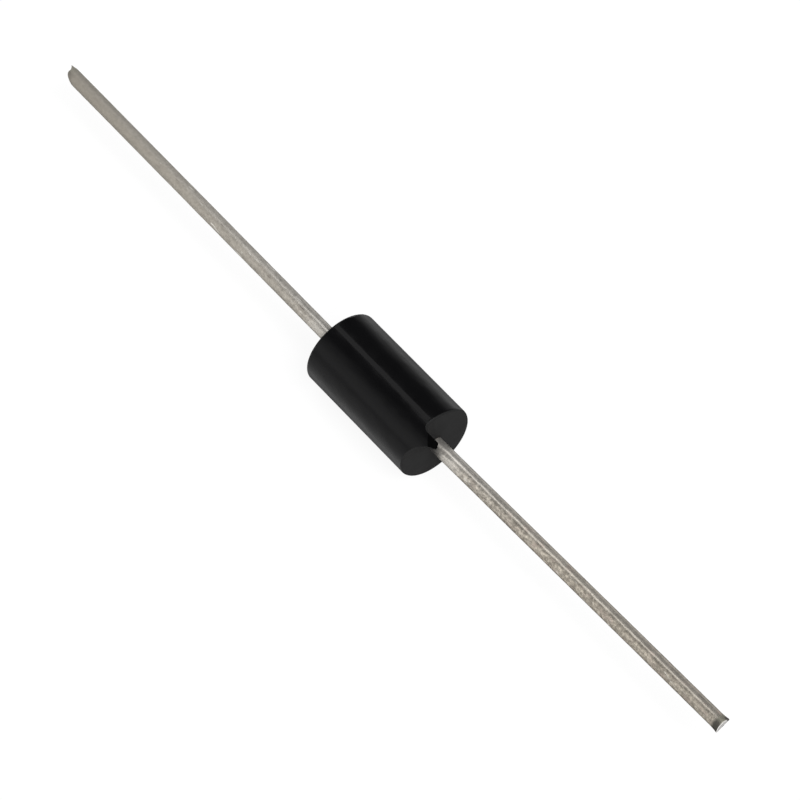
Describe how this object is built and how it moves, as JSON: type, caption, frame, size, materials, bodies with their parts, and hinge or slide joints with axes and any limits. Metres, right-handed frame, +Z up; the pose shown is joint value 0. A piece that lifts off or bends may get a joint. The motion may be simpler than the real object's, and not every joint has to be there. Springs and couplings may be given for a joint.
{
  "type": "axial tvs diode",
  "caption": "Black moulded cylinder with one straight tinned wire lead from each end, a through-hole diode that clamps voltage surges.",
  "frame": {"origin": "middle of the moulded body, on the axis of the leads", "axes": "+X along the body towards the right lead, which leans 0.9 degrees from it and whose body end carries the gate remnant; +Z up, in about the mould's parting plane"},
  "size_m": [0.0638, 0.0052, 0.0054],
  "materials": {
    "epoxy": "satin moulded epoxy",
    "tinned_copper": "tin-dipped copper wire, dull and pitted",
    "silicon": "lapped silicon",
    "solder": "dull solder",
    "silicone": "white silicone rubber"
  },
  "bodies": {
    "root": {"moulded_body": "epoxy", "right_lead": "tinned_copper", "left_lead": "tinned_copper", "silicon_chip": "silicon", "right_solder": "solder", "left_solder": "solder", "junction_coating": "silicone"}
  },
  "joints": []
}
